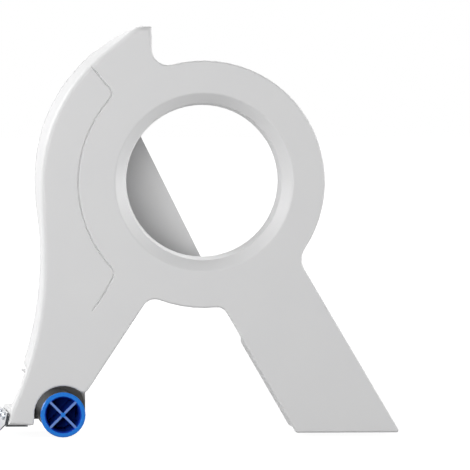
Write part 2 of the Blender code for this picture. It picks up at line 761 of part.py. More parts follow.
def hub_solids():
    """The hub's outside, as a solid that starts inside the face, and the bevelled bore to cut."""
    shoulder = BORE_LIP_RADIUS + HUB_SHOULDER_WIDTH
    outside = [
        (0, INSIDE_FACE),
        (shoulder, INSIDE_FACE),
        (shoulder, FACE_THICKNESS),
        (HUB_OUTER_RADIUS, HUB_SHOULDER_END),
        (HUB_OUTER_RADIUS, HUB_LENGTH - HUB_END_CHAMFER),
        (HUB_OUTER_RADIUS - HUB_END_CHAMFER, HUB_LENGTH),
        (0, HUB_LENGTH),
    ]
    mouth = HUB_OUTER_RADIUS - HUB_MOUTH_WALL
    end = HUB_OUTER_RADIUS - HUB_END_WALL
    flare = (BORE_LIP_RADIUS - mouth) / BEVEL_DEPTH
    bore = [
        (0, -OVERRUN),
        (BORE_LIP_RADIUS + flare * OVERRUN, -OVERRUN),
        (mouth, BEVEL_DEPTH),
        (end, HUB_LENGTH),
        (end, HUB_LENGTH + OVERRUN),
        (0, HUB_LENGTH + OVERRUN),
    ]
    return turned(outside), turned(bore)


def grip_half(y_start, y_end, hollow_start, hollow_end):
    box = prism(outline(grip_arcs(), GRIP_SETBACK), y_start, y_end)
    hollow = prism(outline(hollow_arcs(), GRIP_SETBACK), hollow_start, hollow_end)
    return cut(box, [hollow])


def nose_bar():
    """The bar between the cheeks that carries the blade."""
    bar_top = Line(NOSE_TIP + UP * BAR_HEIGHT, LEFT)
    steps = [
        Step("front", NOSE, BAR_CORNER, 1, 1, 0.0),
        Step("bottom", NOSE_SOLE, BAR_CORNER, 1, 1, 0.0),
        Step("heel", HEEL, BAR_CORNER, 1, 1, 0.0),
        Step("top", bar_top, BAR_CORNER, 1, 1, 0.0),
    ]
    return prism(outline(arcs_of(steps), BAR_SETBACK), INSIDE_FACE, PANEL_INSIDE - SEAM_GAP)


def front_shell(frame):
    face = face_arcs()
    wall = panel_arcs()
    horn_line = Line(Vector((-HORN_EDGE_X, 0)), UP)
    rim_top = marker("rim_top", horn_line, Vector((-HORN_EDGE_X, HORN_TOP - RIM_TOP_GAP)), 0.0)
    rim_right = [*stretch(face, "grip_right_end", "ring_end"), rim_top]
    rim_leg_top = marker("rim_leg_top", LEG_EDGE, LEG_EDGE.point - LEG_EDGE.direction * BRIDGE_TAB / 2, 0.0)
    rim_leg = [*stretch(face, "notch_end", "notch_end"), rim_leg_top]
    tongue = stretch(wall, "wall", "leg")
    tongue_outer = WALL_THICKNESS + SEAM_GAP
    tongue_inner = tongue_outer + TONGUE_WALL
    rim_inner = RIM_SETBACK + RIM_WALL

    shell = lofted(rounded_rings(face, 0.0, FACE_THICKNESS))
    hub, bore = hub_solids()
    joined(shell, [hub, grip_half(INSIDE_FACE, MIDDLE_SEAM, FACE_THICKNESS, DEPTH), nose_bar()])
    joined(
        shell,
        [
            prism(band(rim_right, RIM_SETBACK, rim_inner), INSIDE_FACE, RIM_DEPTH),
            prism(band(rim_leg, RIM_SETBACK, rim_inner), INSIDE_FACE, RIM_DEPTH),
            prism(band(tongue, tongue_outer, tongue_inner), INSIDE_FACE, TONGUE_DEPTH),
        ],
    )
    posts = []
    cutters = [bore, groove_cutter()]
    post_end = PANEL_INSIDE - SEAM_GAP
    for place in screw_places():
        posts.append(cylinder(POST_RADIUS, INSIDE_FACE, post_end, place))
        cutters.append(cylinder(PILOT_RADIUS, post_end - PILOT_DEPTH, post_end + OVERRUN, place))
    for y in blade_screw_depths():
        hole = cylinder(BLADE_SCREW_SHANK + BLADE_SCREW_FIT, -BLADE_SCREW_LENGTH, BLADE_SCREW_LENGTH)
        cutters.append(nose_turned(hole, y))
    nose_post = posts.pop(3)
    bpy.data.objects.remove(nose_post)
    joined(shell, posts)
    cut(shell, cutters)
    return finished("front_shell", shell, WHITE_PLASTIC, frame)


def rear_shell(frame):
    panel = panel_arcs()
    wall_start = unit(WALL_TOP_ANGLE) * WALL_RADIUS
    wall_end = unit(math.pi) * WALL_RADIUS
    top = arc_between("top", RING_CENTRE, WALL_RADIUS, 1, wall_start, wall_end, PANEL_EDGE)
    side = [top, *stretch(panel, "waist_upper", "leg_end")]
    shell = lofted(rounded_rings(panel, DEPTH, PANEL_INSIDE))
    wall_front = FACE_THICKNESS + SEAM_GAP
    side_wall = prism(band(side, GRIP_SETBACK, WALL_THICKNESS), wall_front, INSIDE_PANEL)
    box = grip_half(MIDDLE_SEAM + SEAM_GAP, INSIDE_PANEL, 0.0, PANEL_INSIDE)
    boss = cylinder(BOSS_RADIUS, BOSS_START, INSIDE_PANEL, ROLLER_CENTRE)
    joined(shell, [side_wall, box, boss])

    bush_hole = AXLE_RADIUS + AXLE_FIT + BUSH_WALL + AXLE_FIT
    bearing = [
        (0, BOSS_START - OVERRUN),
        (bush_hole, BOSS_START - OVERRUN),
        (bush_hole, DEPTH - POCKET_DEPTH),
        (POCKET_RADIUS, DEPTH - POCKET_DEPTH),
        (POCKET_RADIUS, DEPTH + OVERRUN),
        (0, DEPTH + OVERRUN),
    ]
    cutters = [turned(bearing, ROLLER_CENTRE)]
    for place in screw_places():
        hole = [
            (0, PANEL_INSIDE - OVERRUN),
            (CLEARANCE_RADIUS, PANEL_INSIDE - OVERRUN),
            (CLEARANCE_RADIUS, DEPTH - COUNTERBORE_DEPTH),
            (COUNTERBORE_RADIUS, DEPTH - COUNTERBORE_DEPTH),
            (COUNTERBORE_RADIUS, DEPTH + OVERRUN),
            (0, DEPTH + OVERRUN),
        ]
        cutters.append(turned(hole, place))
    cut(shell, cutters)
    return finished("rear_shell", shell, WHITE_PLASTIC, frame)


# Roller and bearing


def web_plate(angle, thickness, reach, y_start, y_end):
    """A flat web through the roller's axis."""
    along = unit(angle) * reach
    across = left_of(unit(angle)) * (thickness / 2)
    corners = [along + across, across - along, -along - across, along - across]
    return prism(corners, y_start, y_end)


def without_webs(cavity, y_start, y_end):
    """A cavity's cutter, divided by the two webs that stay."""
    for angle in WEB_ANGLES:
        cut(cavity, [web_plate(angle, WEB_THICKNESS, ROLLER_RADIUS, y_start, y_end)])
    return cavity


def roller_barrel():
    """Radius of the barrel that the rubber sleeve is pushed over."""
    return SLEEVE_RADIUS - SLEEVE_WALL - SLEEVE_FIT


def roller(axis):
    """A flanged barrel with blind pockets in front and a cavity round its core behind."""
    length = PANEL_INSIDE - ROLLER_REAR_GAP
    barrel = roller_barrel()
    outside = [
        (0, 0),
        (ROLLER_RADIUS - ROLLER_EDGE, 0),
        (ROLLER_RADIUS, ROLLER_EDGE),
        (ROLLER_RADIUS, ROLLER_FLANGE),
        (barrel, ROLLER_FLANGE),
        (barrel, length),
        (0, length),
    ]
    mouth = ROLLER_RADIUS - ROLLER_WALL
    pockets = [
        (0, -OVERRUN),
        (mouth, -OVERRUN),
        (mouth, 0),
        (barrel - POCKET_WALL, ROLLER_FLANGE),
        (barrel - POCKET_FLOOR_WALL, POCKET_END),
        (0, POCKET_END),
    ]
    cavity = [
        (CORE_RADIUS, REAR_CAVITY_START),
        (barrel - REAR_CAVITY_WALL, REAR_CAVITY_START),
        (barrel - REAR_CAVITY_WALL, length + OVERRUN),
        (0, length + OVERRUN),
        (0, CORE_END),
        (CORE_RADIUS, CORE_END),
    ]
    front = without_webs(turned(pockets), WEB_FRONT_INSET, POCKET_END + OVERRUN)
    rear = without_webs(turned(cavity), REAR_CAVITY_START - OVERRUN, CORE_END)
    made = turned(outside, name="roller")
    cut(made, [front, rear])
    joined(made, [web_plate(0.0, WEB_SQUARE, WEB_SQUARE / 2, WEB_FRONT_INSET / 2, POCKET_END + OVERRUN / 2)])
    cut(made, [cylinder(AXLE_RADIUS + AXLE_FIT, REAR_CAVITY_START, CORE_END + OVERRUN)])
    return finished("roller", made, BLUE_PLASTIC, axis)


def roller_sleeve(axis):
    """Rubber sleeve over the barrel, from the flange to the rear end."""
    inner = SLEEVE_RADIUS - SLEEVE_WALL
    start = ROLLER_FLANGE + SLEEVE_FIT
    end = PANEL_INSIDE - ROLLER_REAR_GAP - SLEEVE_FIT
    profile = [
        (inner, start),
        (SLEEVE_RADIUS - SLEEVE_EDGE, start),
        (SLEEVE_RADIUS, start + SLEEVE_EDGE),
        (SLEEVE_RADIUS, end - SLEEVE_EDGE),
        (SLEEVE_RADIUS - SLEEVE_EDGE, end),
        (inner, end),
    ]
    return finished("roller_sleeve", turned(profile), SLEEVE_RUBBER, axis)


def stack_places():
    """Depths of washer, clip and axle end in the pocket behind the cheek."""
    washer = DEPTH - POCKET_DEPTH + STACK_GAP
    clip = washer + WASHER_THICKNESS + STACK_GAP
    end = clip + CLIP_THICKNESS + 2 * AXLE_END_CHAMFER
    return washer, clip, end


def roller_axle(axis):
    _, clip, end = stack_places()
    start = REAR_CAVITY_START + AXLE_FIT
    groove_start = clip - STACK_GAP / 2
    groove_end = clip + CLIP_THICKNESS + STACK_GAP / 2
    profile = [
        (0, start),
        (AXLE_RADIUS - AXLE_END_CHAMFER, start),
        (AXLE_RADIUS, start + AXLE_END_CHAMFER),
        (AXLE_RADIUS, groove_start),
        (AXLE_GROOVE_RADIUS, groove_start),
        (AXLE_GROOVE_RADIUS, groove_end),
        (AXLE_RADIUS, groove_end),
        (AXLE_RADIUS - AXLE_END_CHAMFER, end),
        (0, end),
    ]
    return finished("roller_axle", turned(profile), AXLE_STEEL, axis)


def axle_bush(frame):
    inner = AXLE_RADIUS + AXLE_FIT
    outer = inner + BUSH_WALL
    flange_end = BOSS_START - SEAM_GAP
    profile = [
        (inner, flange_end - BUSH_FLANGE),
        (BUSH_FLANGE_RADIUS, flange_end - BUSH_FLANGE),
        (BUSH_FLANGE_RADIUS, flange_end),
        (outer, flange_end),
        (outer, DEPTH - POCKET_DEPTH - STACK_GAP),
        (inner, DEPTH - POCKET_DEPTH - STACK_GAP),
    ]
    return finished("axle_bush", turned(profile, ROLLER_CENTRE), BUSH_PLASTIC, frame)


def axle_washer(axis):
    start, _, _ = stack_places()
    inner = AXLE_RADIUS + AXLE_FIT
    end = start + WASHER_THICKNESS
    profile = [(inner, start), (WASHER_RADIUS, start), (WASHER_RADIUS, end), (inner, end)]
    return finished("axle_washer", turned(profile), AXLE_STEEL, axis)


def axle_clip(axis):
    """Retaining ring in the axle's groove, open at one side."""
    _, start, _ = stack_places()
    inner = AXLE_GROOVE_RADIUS + STACK_GAP
    half = CLIP_OPENING / 2
    turn = math.tau - CLIP_OPENING
    outside = Arc("outside", RING_CENTRE, CLIP_RADIUS, half, turn, 1, 0.0)
    inside = Arc("inside", RING_CENTRE, inner, half + turn, -turn, -1, 0.0)
    made = prism(outline([outside, inside]), start, start + CLIP_THICKNESS)
    return finished("axle_clip", made, AXLE_STEEL, axis)


# Blade, sole plate and screws


def blade_section(lip):
    """Section of the blade: a flange up the nose's front, bent to a lip of a given length."""
    inner = 2 * SHEET_GAP + SOLE_THICKNESS
    outer = inner + BLADE_THICKNESS
    lip_way = unit(BLADE_LIP_ANGLE)
    inside = Line(along_nose(0.0, inner), lip_way)
    outside = Line(moved_left(inside, -BLADE_THICKNESS).point, lip_way)
    bend_outer = lines_cross(outside, Line(along_nose(0.0, outer), NOSE.direction))
    edge = inside.point + lip_way * lip
    thin = left_of(lip_way) * (BLADE_THICKNESS * CUTTING_EDGE_SHARE)
    return [
        along_nose(BLADE_FLANGE, inner),
        inside.point,
        edge,
        edge - thin,
        bend_outer + lip_way * (lip / 2),
        bend_outer,
        along_nose(BLADE_FLANGE, outer),
    ]


def cutter_blade(frame):
    """Serrated strip. Its teeth are stations with a longer and a shorter lip in turn."""
    length = PANEL_INSIDE - 2 * BLADE_FRONT
    stations = 2 * round(length / TOOTH_PITCH)
    rings = []
    for index in range(stations + 1):
        lip = BLADE_LIP - TOOTH_DEPTH * (index % 2 == 0)
        rings.append(raised(blade_section(lip), BLADE_FRONT + length * index / stations))
    made = lofted(rings, "cutter_blade")
    cut(made, blade_holes())
    return finished("cutter_blade", made, BLADE_STEEL, frame)


def blade_holes():
    holes = []
    for y in blade_screw_depths():
        reach = BLADE_SCREW_LENGTH
        holes.append(nose_turned(cylinder(BLADE_SCREW_SHANK + BLADE_SCREW_FIT, -reach, reach), y))
    return holes


def sole_plate(frame):
    """Thin strip bent round the nose: a leaf under it and a flange behind the blade."""
    inner = SHEET_GAP
    outer = inner + SOLE_THICKNESS
    front_outer = Line(along_nose(0.0, outer), NOSE.direction)
    front_inner = Line(along_nose(0.0, inner), NOSE.direction)
    leaf_top = moved_left(NOSE_SOLE, -inner)
    leaf_bottom = moved_left(NOSE_SOLE, -outer)
    top_corner = lines_cross(front_inner, leaf_top)
    bottom_corner = lines_cross(front_outer, leaf_bottom)
    leaf = RIGHT * SOLE_LENGTH
    section = [
        along_nose(SOLE_FLANGE, outer),
        bottom_corner,
        Vector((top_corner.x, bottom_corner.y)) + leaf,
        top_corner + leaf,
        top_corner,
        along_nose(SOLE_FLANGE, inner),
    ]
    made = prism(section, BLADE_FRONT, PANEL_INSIDE - BLADE_FRONT, "sole_plate")
    cut(made, blade_holes())
    return finished("sole_plate", made, BLADE_STEEL, frame)


def blade_screw(frame, index, y):
    """Pan-head screw through the blade and the sole plate's flange into the nose bar."""
    seat = -(3 * SHEET_GAP + SOLE_THICKNESS + BLADE_THICKNESS)
    profile = [
        (0, seat - BLADE_SCREW_HEAD_HEIGHT),
        (BLADE_SCREW_HEAD * CUTTING_EDGE_SHARE * 2, seat - BLADE_SCREW_HEAD_HEIGHT),
        (BLADE_SCREW_HEAD, seat - BLADE_SCREW_HEAD_HEIGHT / 2),
        (BLADE_SCREW_HEAD, seat),
        (BLADE_SCREW_SHANK, seat),
        (BLADE_SCREW_SHANK, BLADE_SCREW_LENGTH - BLADE_SCREW_FIT),
        (0, BLADE_SCREW_LENGTH - BLADE_SCREW_FIT),
    ]
    made = nose_turned(turned(profile), y)
    return finished(f"blade_screw_{index}", made, SCREW_STEEL, frame)


def case_screw(frame, index, place):
    seat = DEPTH - COUNTERBORE_DEPTH + STACK_GAP
    profile = [
        (0, PANEL_INSIDE - CASE_SCREW_REACH),
        (CASE_SCREW_SHANK, PANEL_INSIDE - CASE_SCREW_REACH),
        (CASE_SCREW_SHANK, seat),
        (CASE_SCREW_HEAD, seat),
        (CASE_SCREW_HEAD, seat + CASE_SCREW_HEAD_HEIGHT),
        (0, seat + CASE_SCREW_HEAD_HEIGHT),
    ]
    return finished(f"case_screw_{index}", turned(profile, place), SCREW_STEEL, frame)


def empty(name, location, parent=None):
    made = bpy.data.objects.new(name, None)
    bpy.context.scene.collection.objects.link(made)
    made.location = location
    made.parent = parent
    return made


def build():
    for old in list(bpy.data.objects):
        bpy.data.objects.remove(old)
    tip = min(point.x for point in blade_section(BLADE_LIP))
    foot = lines_cross(FOOT, GRIP_RIGHT)
    middle = (tip + foot.x) / 2
    ground = ROLLER_CENTRE.y - ROLLER_RADIUS
    frame = empty("ring_axis", (-middle, -DEPTH / 2, -ground))
    axis = empty("roller_axis", (ROLLER_CENTRE.x, 0, ROLLER_CENTRE.y), frame)
    front_shell(frame)
    rear_shell(frame)
    roller(axis)
    roller_sleeve(axis)
    roller_axle(axis)
    axle_bush(frame)
    axle_washer(axis)
    axle_clip(axis)
    cutter_blade(frame)
    sole_plate(frame)
    for index, y in enumerate(blade_screw_depths(), 1):
        blade_screw(frame, index, y)
    for index, place in enumerate(screw_places(), 1):
        case_screw(frame, index, place)
    print("ring axis", [round(value, 5) for value in frame.location])
    print("roller axis", [round(value, 5) for value in frame.location + axis.location])


build()
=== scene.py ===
# Looks for the masking tape dispenser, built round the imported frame.
# White moulded case, blue press roller, serrated steel blade. Metres, front towards -Y.

import math

import bmesh
import bpy
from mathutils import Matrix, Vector


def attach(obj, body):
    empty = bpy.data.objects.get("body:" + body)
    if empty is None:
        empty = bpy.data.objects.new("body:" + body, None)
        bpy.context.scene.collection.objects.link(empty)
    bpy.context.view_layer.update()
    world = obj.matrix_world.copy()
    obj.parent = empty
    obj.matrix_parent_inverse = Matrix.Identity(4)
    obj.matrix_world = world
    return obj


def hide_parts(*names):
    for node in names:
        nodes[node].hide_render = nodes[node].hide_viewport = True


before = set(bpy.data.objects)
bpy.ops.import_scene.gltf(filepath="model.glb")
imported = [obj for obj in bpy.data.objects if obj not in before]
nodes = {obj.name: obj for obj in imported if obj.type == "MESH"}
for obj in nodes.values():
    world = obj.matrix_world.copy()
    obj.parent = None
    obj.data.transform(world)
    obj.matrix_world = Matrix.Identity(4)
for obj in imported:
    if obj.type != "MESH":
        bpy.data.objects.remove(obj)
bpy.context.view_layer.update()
scene = bpy.context.scene
scene.view_settings.view_transform = "Standard"

mm = 0.001
ringAxis = Vector((0.00225, -0.028, 0.11553))
rollerAxis = Vector((-0.06173, -0.028, 0.01023))
print("frame loaded with", len(nodes), "nodes")


# Small helpers


def colour(hexValue):
    # sRGB hex to the linear values that shaders take
    parts = [int(hexValue[i : i + 2], 16) / 255 for i in (1, 3, 5)]
    return tuple(p / 12.92 if p <= 0.04045 else ((p + 0.055) / 1.055) ** 2.4 for p in parts) + (1.0,)


def addNode(tree, kind, settings=None, links=None):
    made = tree.nodes.new(kind)
    for name, value in (settings or {}).items():
        if isinstance(name, int) or name in made.inputs:
            made.inputs[name].default_value = value
        else:
            setattr(made, name, value)
    for name, socket in (links or {}).items():
        tree.links.new(socket, made.inputs[name])
    return made


def newMaterial(name, fixed):
    # a material with one Principled shader, the values that are the same all over it, and its place
    made = bpy.data.materials.new(name)
    made.use_nodes = True
    tree = made.node_tree
    tree.nodes.clear()
    shader = addNode(tree, "ShaderNodeBsdfPrincipled", fixed)
    addNode(tree, "ShaderNodeOutputMaterial", links={"Surface": shader.outputs["BSDF"]})
    place = addNode(tree, "ShaderNodeTexCoord").outputs["Object"]
    return made, tree, shader, place


def grain(size):
    # scale of a pattern whose spots are about this many metres wide
    return 1.0 / size


def wearPattern(tree, shader, look, spots, lines):
    # spots tint the surface from the first of the look's tones to the second, and lines vary its sheen
    # and, where the look has a relief, its height
    faint, strong = look["tones"]
    tone = addNode(
        tree,
        "ShaderNodeMix",
        {"data_type": "RGBA", 6: colour(faint), 7: colour(strong)},
        {0: spots},
    )
    tree.links.new(tone.outputs[2], shader.inputs["Base Color"])
    sheen = addNode(
        tree,
        "ShaderNodeMapRange",
        {"To Min": look["smoothest"], "To Max": look["roughest"]},
        {"Value": lines},
    )
    tree.links.new(sheen.outputs["Result"], shader.inputs["Roughness"])
    if "relief" in look:
        bump = addNode(
            tree,
            "ShaderNodeBump",
            {"Strength": look["relief"], "Distance": look["height"]},
            {"Height": lines},
        )
        tree.links.new(bump.outputs["Normal"], shader.inputs["Normal"])
    return tone.outputs[2]


# Materials


# painted shade round the press roller, where the inside of the case lies in shadow
rollerPaintedShade = {
    "colour": "#2B2926",
    "reach": 14.4 * mm,
    "fade": 1.2 * mm,
    "depth": 25.4 * mm,
    "depthFade": 0.4 * mm,
    "cover": 0.9,
}


def paintShadeRoundRoller(tree, shader, place, unshadedTone):
    # painted shade: a dark colour on the cheeks' inside faces round the press roller, standing in for the
    # shadow in that recess
    centred = addNode(
        tree,
        "ShaderNodeMapping",
        {"Location": (-rollerAxis.x, 0.0, -rollerAxis.z)},
        {"Vector": place},
    )
    parts = addNode(tree, "ShaderNodeSeparateXYZ", links={0: centred.outputs["Vector"]})
    flat = addNode(tree, "ShaderNodeCombineXYZ", links={"X": parts.outputs["X"], "Z": parts.outputs["Z"]})
    away = addNode(tree, "ShaderNodeVectorMath", {"operation": "LENGTH"}, {0: flat.outputs[0]})
    near = addNode(
        tree,
        "ShaderNodeMapRange",
        {
            "From Min": rollerPaintedShade["reach"] - rollerPaintedShade["fade"],
            "From Max": rollerPaintedShade["reach"],
            "To Min": rollerPaintedShade["cover"],
            "To Max": 0.0,
        },
        {"Value": away.outputs["Value"]},
    )
    depth = addNode(tree, "ShaderNodeMath", {"operation": "ABSOLUTE"}, {0: parts.outputs["Y"]})
    inside = addNode(
        tree,
        "ShaderNodeMapRange",
        {
            "From Min": rollerPaintedShade["depth"],
            "From Max": rollerPaintedShade["depth"] + rollerPaintedShade["depthFade"],
            "To Min": 1.0,
            "To Max": 0.0,
        },
        {"Value": depth.outputs[0]},
    )
    cover = addNode(
        tree,
        "ShaderNodeMath",
        {"operation": "MULTIPLY"},
        {0: near.outputs["Result"], 1: inside.outputs["Result"]},
    )
    shadedTone = addNode(
        tree,
        "ShaderNodeMix",
        {"data_type": "RGBA", 7: colour(rollerPaintedShade["colour"])},
        {0: cover.outputs[0], 6: unshadedTone},
    )
    tree.links.new(shadedTone.outputs[2], shader.inputs["Base Color"])


def whiteStyrene():
    # High-impact polystyrene, injection moulded in a spark-eroded mould: an even, plain white
    # with a soft sheen, a fine pebble that breaks the highlights up, and faint flow clouds.
    look = {
        "tones": ("#D8D8D9", "#DCDCDC"),
        "smoothest": 0.40,
        "roughest": 0.50,
        "pebble": 0.55 * mm,  # the real texture is about 0.1 mm, drawn coarser so that it shows
        "height": 0.010 * mm,
        "relief": 0.35,
        "clouds": 26 * mm,
    }
    made, tree, shader, place = newMaterial("whiteStyreneMoulded", {"IOR": 1.5})
    clouds = addNode(
        tree,
        "ShaderNodeTexNoise",
        {"Scale": grain(look["clouds"]), "Detail": 2.0, "Roughness": 0.4},
        {"Vector": place},
    )
    pebble = addNode(
        tree,
        "ShaderNodeTexNoise",
        {"Scale": grain(look["pebble"]), "Detail": 1.0, "Roughness": 0.5},
        {"Vector": place},
    )
    unshadedTone = wearPattern(tree, shader, look, clouds.outputs["Fac"], pebble.outputs["Fac"])
    # painted shade round the press roller, laid over the white's own tone
    paintShadeRoundRoller(tree, shader, place, unshadedTone)
    return made


def blueStyrene(name, light, shade, smoothest, roughest, gloss):
    # The same plastic coloured through in a strong blue, with fine turning lines round the barrel: crisp
    # highlights off a polished mould; dull off its core pins, and darker there as painted shade in the
    # deep pockets; and paler on the web as a painted highlight.
    look = {
        "tones": (shade, light),
        "smoothest": smoothest,
        "roughest": roughest,
        "lines": 0.5 * mm,  # the real lines are about 0.1 mm apart, drawn coarser so that they show
        "drag": (0.04, 1.0, 0.04),
        "height": 0.008 * mm,
        "relief": 0.3,
        "clouds": 9 * mm,
    }
    made, tree, shader, place = newMaterial(name, {"IOR": 1.5, "Specular IOR Level": gloss})
    clouds = addNode(
        tree,
        "ShaderNodeTexNoise",
        {"Scale": grain(look["clouds"]), "Detail": 2.0},
        {"Vector": place},
    )
    stretch = addNode(tree, "ShaderNodeMapping", {"Scale": look["drag"]}, {"Vector": place})
    lines = addNode(
        tree,
        "ShaderNodeTexNoise",
        {"Scale": grain(look["lines"]), "Detail": 1.0},
        {"Vector": stretch.outputs["Vector"]},
    )
    wearPattern(tree, shader, look, clouds.outputs["Fac"], lines.outputs["Fac"])
    return made


def rolledSteel(name, light, shade, smoothest, roughest):
    # Cold-rolled spring steel strip: grey with a directional drag of rolling lines along the strip
    # and faint darker clouds left by the oil.
    look = {
        "tones": (shade, light),
        "smoothest": smoothest,
        "roughest": roughest,
        "lines": 0.35 * mm,  # the real lines are about 0.05 mm apart, drawn coarser so that they show
        "drag": (1.0, 0.03, 1.0),
        "height": 0.006 * mm,
        "relief": 0.4,
        "clouds": 7 * mm,
    }
    made, tree, shader, place = newMaterial(name, {"Metallic": 1.0})
    stretch = addNode(tree, "ShaderNodeMapping", {"Scale": look["drag"]}, {"Vector": place})
    lines = addNode(
        tree,
        "ShaderNodeTexNoise",
        {"Scale": grain(look["lines"]), "Detail": 2.0},
        {"Vector": stretch.outputs["Vector"]},
    )
    clouds = addNode(
        tree,
        "ShaderNodeTexNoise",
        {"Scale": grain(look["clouds"]), "Detail": 3.0},
        {"Vector": place},
    )
    wearPattern(tree, shader, look, clouds.outputs["Fac"], lines.outputs["Fac"])
    return made


def zincPlated():
    # Bright zinc on steel, barrel plated: pale, slightly blue grey with a fine mottle.
    look = {
        "tones": ("#C3C7CC", "#A4A9B0"),
        "smoothest": 0.24,
        "roughest": 0.40,
        "mottle": 0.6 * mm,
    }
    made, tree, shader, place = newMaterial("zincPlatedSteel", {"Metallic": 1.0})
    mottle = addNode(tree, "ShaderNodeTexVoronoi", {"Scale": grain(look["mottle"])}, {"Vector": place})
    wearPattern(tree, shader, look, mottle.outputs["Distance"], mottle.outputs["Distance"])
    return made


def groundRubber():
    # Nitrile rubber, moulded and ground to size: near-black with a dusty grey bloom, and fine grinding
    # lines round it that leave it dull.
    look = {
        "tones": ("#141618", "#202224"),
        "smoothest": 0.62,
        "roughest": 0.82,
        "bloom": 2.2 * mm,
        "lines": 0.45 * mm,  # the real lines are about 0.1 mm apart, drawn coarser so that they show
        "drag": (0.05, 1.0, 0.05),
        "height": 0.01 * mm,
        "relief": 0.4,
    }
    made, tree, shader, place = newMaterial("groundNitrileRubber", {"IOR": 1.5})
    bloom = addNode(
        tree,
        "ShaderNodeTexNoise",
        {"Scale": grain(look["bloom"]), "Detail": 4.0},
        {"Vector": place},
    )
    stretch = addNode(tree, "ShaderNodeMapping", {"Scale": look["drag"]}, {"Vector": place})
    lines = addNode(
        tree,
        "ShaderNodeTexNoise",
        {"Scale": grain(look["lines"]), "Detail": 1.0},
        {"Vector": stretch.outputs["Vector"]},
    )
    wearPattern(tree, shader, look, bloom.outputs["Fac"], lines.outputs["Fac"])
    return made


def shearedEdge():
    # The cut end of the strip: torn, unpolished steel, darker than its rolled faces.
    look = {
        "tones": ("#2E3033", "#55585C"),
        "smoothest": 0.45,
        "roughest": 0.70,
        "tear": 0.25 * mm,
    }
    made, tree, shader, place = newMaterial("shearedSteelEdge", {"Metallic": 1.0})
    tear = addNode(
        tree,
        "ShaderNodeTexNoise",
        {"Scale": grain(look["tear"]), "Detail": 3.0},
        {"Vector": place},
    )
    wearPattern(tree, shader, look, tear.outputs["Fac"], tear.outputs["Fac"])
    return made


def naturalAcetal():
    # Unfilled acetal, moulded: milky off-white, waxy, with a soft mottle.
    look = {
        "tones": ("#D9D4C6", "#E6E2D6"),
        "smoothest": 0.42,
        "roughest": 0.55,
        "mottle": 3 * mm,
    }
    made, tree, shader, place = newMaterial("naturalAcetalMoulded", {"IOR": 1.48})
    mottle = addNode(
        tree,
        "ShaderNodeTexNoise",
        {"Scale": grain(look["mottle"]), "Detail": 2.0},
        {"Vector": place},
    )
    wearPattern(tree, shader, look, mottle.outputs["Fac"], mottle.outputs["Fac"])
    return made


materials = {
    "white": whiteStyrene(),
    "blue": blueStyrene("bluePolishedStyrene", "#1480E4", "#0E75DA", 0.14, 0.22, 0.25),
    # painted shade: a darker blue for the deep pockets
    "pocket": blueStyrene("blueStyrenePocketPaintedShade", "#1848C4", "#123CB4", 0.70, 0.85, 0.08),
    # painted highlight: a paler, greyer blue for the web's front faces
    "webHighlight": blueStyrene("blueStyreneWebPaintedHighlight", "#668CD2", "#547AC8", 0.30, 0.45, 0.40),
    "blade": rolledSteel("rolledSpringSteel", "#C4C6C9", "#B0B2B6", 0.22, 0.34),
    "sole": rolledSteel("tinnedSteelStrip", "#B0B2B4", "#989A9D", 0.28, 0.42),
    "sheared": shearedEdge(),
    "axle": rolledSteel("turnedSteel", "#B4B6B9", "#9B9DA1", 0.18, 0.30),
    "zinc": zincPlated(),
    "acetal": naturalAcetal(),
    "rubber": groundRubber(),
}
print("materials made")


# Pieces

meshSettings = {
    "weld": 0.002 * mm,
    "flatAngle": math.radians(0.4),
    "ringSlack": 0.06 * mm,
    "levelSlack": 0.01 * mm,
    "normalWeight": 50,
    "caseSharp": 28,  # degrees, as the next two
    "stripSharp": 20,
    "turnedSharp": 32,
}


def newPiece(name, shape):
    mesh = bpy.data.meshes.new(name)
    shape.to_mesh(mesh)
    shape.free()
    piece = bpy.data.objects.new(name, mesh)
    scene.collection.objects.link(piece)
    return piece


def mergedShape(nodeName):
    # a CAD node's loose triangles as one welded skin with flat areas kept whole
    shape = bmesh.new()
    shape.from_mesh(nodes[nodeName].data)
    bmesh.ops.remove_doubles(shape, verts=shape.verts, dist=meshSettings["weld"])
    bmesh.ops.dissolve_limit(
        shape,
        angle_limit=meshSettings["flatAngle"],
        verts=shape.verts,
        edges=shape.edges,
        delimit={"NORMAL"},
    )
    return shape


def softShading(shape, sharpAngle):
    for face in shape.faces:
        face.smooth = True
    for edge in shape.edges:
        edge.smooth = edge.is_manifold and edge.calc_face_angle(0.0) < math.radians(sharpAngle)


def evenNormals(piece):
    # big flats keep their own direction, so curves next to them shade cleanly
    even = piece.modifiers.new("evenNormals", "WEIGHTED_NORMAL")
    even.mode = "FACE_AREA_WITH_ANGLE"
    even.weight = meshSettings["normalWeight"]
    even.keep_sharp = True


def fromNode(nodeName, name, body, material, sharpAngle=meshSettings["turnedSharp"], rounding=None):
    # a CAD node's shape with its fine roundings and its finish, which then stands for that node
    shape = mergedShape(nodeName)
    if rounding:
        rounding(shape)
    softShading(shape, sharpAngle)
    piece = newPiece(name, shape)
    if "custom_normal" in piece.data.attributes:
        piece.data.attributes.remove(piece.data.attributes["custom_normal"])
    evenNormals(piece)
    piece.data.materials.clear()
    piece.data.materials.append(material)
    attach(piece, body)
    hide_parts(nodeName)
    return piece


def atLevel(edge, y):
    # whether an edge lies at one depth of the part
    return all(abs(vert.co.y - y) < meshSettings["levelSlack"] for vert in edge.verts)


def ringEdges(shape, centre, radius, y):
    # edges of one circle round a Y axis
    slack = meshSettings["ringSlack"]

    def on(vert):
        away = math.hypot(vert.co.x - centre.x, vert.co.z - centre.z)
        return abs(away - radius) < slack and abs(vert.co.y - y) < slack

    return [edge for edge in shape.edges if on(edge.verts[0]) and on(edge.verts[1])]


def softenEdges(shape, edges, offset, segments):
    bmesh.ops.bevel(
        shape,
        geom=edges,
        offset=offset,
        offset_type="OFFSET",
        segments=segments,
        profile=0.5,
        affect="EDGES",
        material=-1,
        clamp_overlap=True,
    )


# Front case

